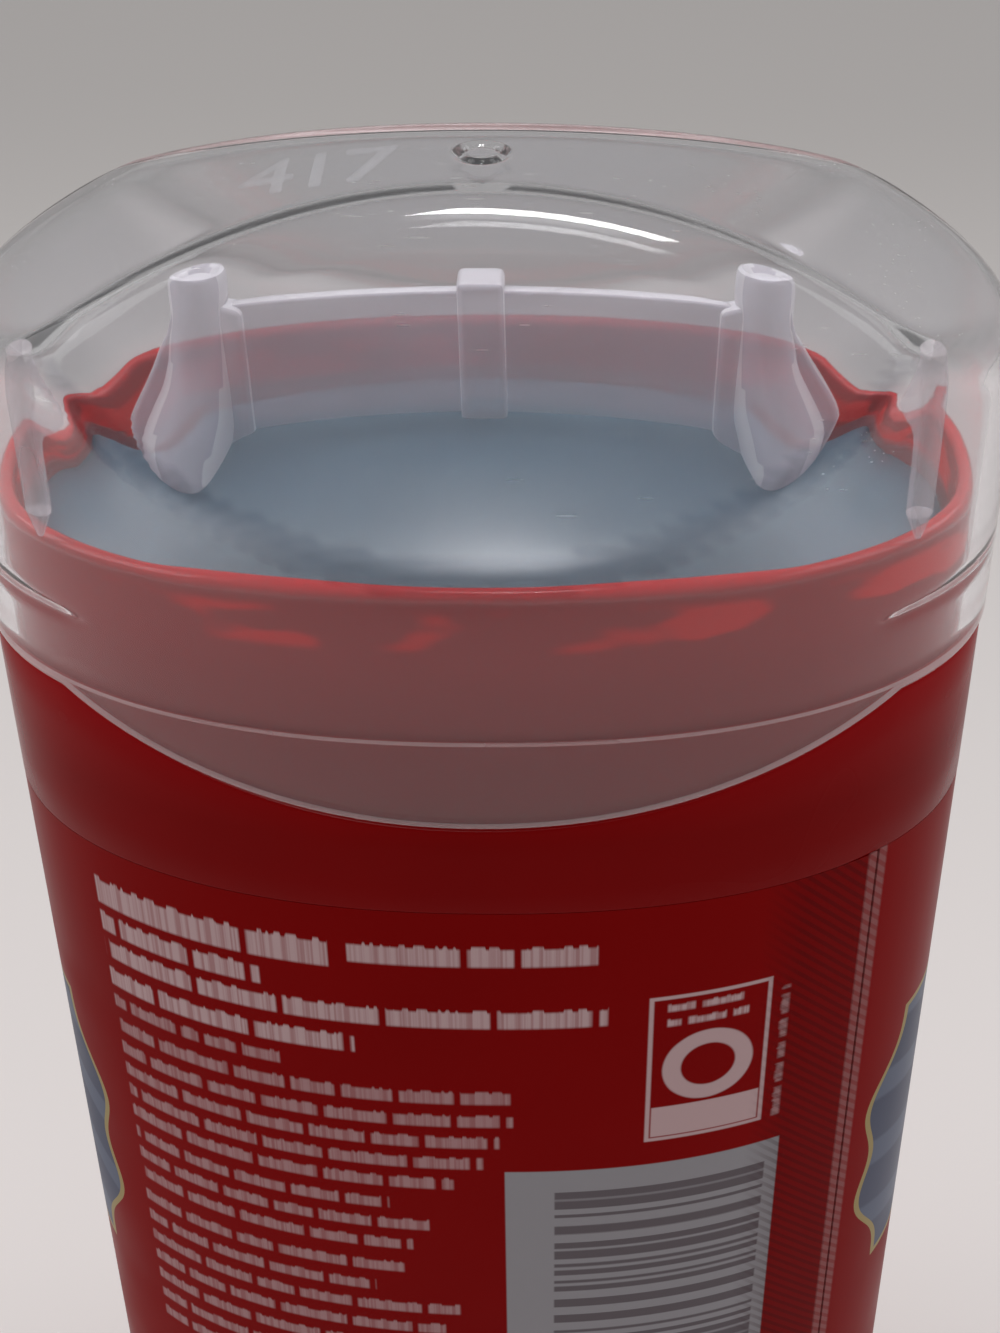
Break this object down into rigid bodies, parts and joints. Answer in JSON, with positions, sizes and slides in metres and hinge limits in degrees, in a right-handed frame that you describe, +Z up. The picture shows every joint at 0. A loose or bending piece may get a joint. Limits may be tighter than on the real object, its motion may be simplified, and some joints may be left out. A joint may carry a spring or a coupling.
{
  "type": "twist-up deodorant stick",
  "caption": "Oval twist-up deodorant stick: a tall barrel with a knurled wheel in its foot, a feed screw and elevator under the stick, a grip seal and a clear faceted cap.",
  "frame": {"origin": "middle of the foot, on the surface it stands on", "axes": "+Z up towards the cap, X across the oval's long axis, -Y towards the side with the small print"},
  "size_m": [0.064, 0.039, 0.1346],
  "materials": {
    "barrel_red": "moulded gloss",
    "collar_red": "moulded satin",
    "screw_white": "moulded satin",
    "elevator_white": "moulded satin",
    "stick_blue": "smooth waxy",
    "seal_natural": "natural, translucent",
    "cap_clear": "natural, translucent",
    "label_film": "satin film"
  },
  "bodies": {
    "body": {"barrel": "barrel_red", "base_collar": "collar_red", "wrap_label": "label_film"},
    "dial": {"feed_screw": "screw_white"},
    "carriage": {"elevator": "elevator_white", "deodorant_stick": "stick_blue", "inner_seal": "seal_natural"},
    "cover": {"cap": "cap_clear"}
  },
  "joints": [
    {"name": "wheel_turn", "type": "hinge", "parent": "body", "child": "dial", "pos_m": [0, 0, 0], "axis": [0, 0, -1], "range_deg": [0, 4285]},
    {"name": "stick_rise", "type": "slide", "parent": "body", "child": "carriage", "axis": [0, 0, 1], "range_m": [0, 0.0595]},
    {"name": "cap_lift", "type": "slide", "parent": "carriage", "child": "cover", "axis": [0, 0, 1], "range_m": [0, 0.08]}
  ],
  "couplings": [
    {"joint": "wheel_turn", "follows": "stick_rise", "rad_per_m": 1256.6}
  ]
}
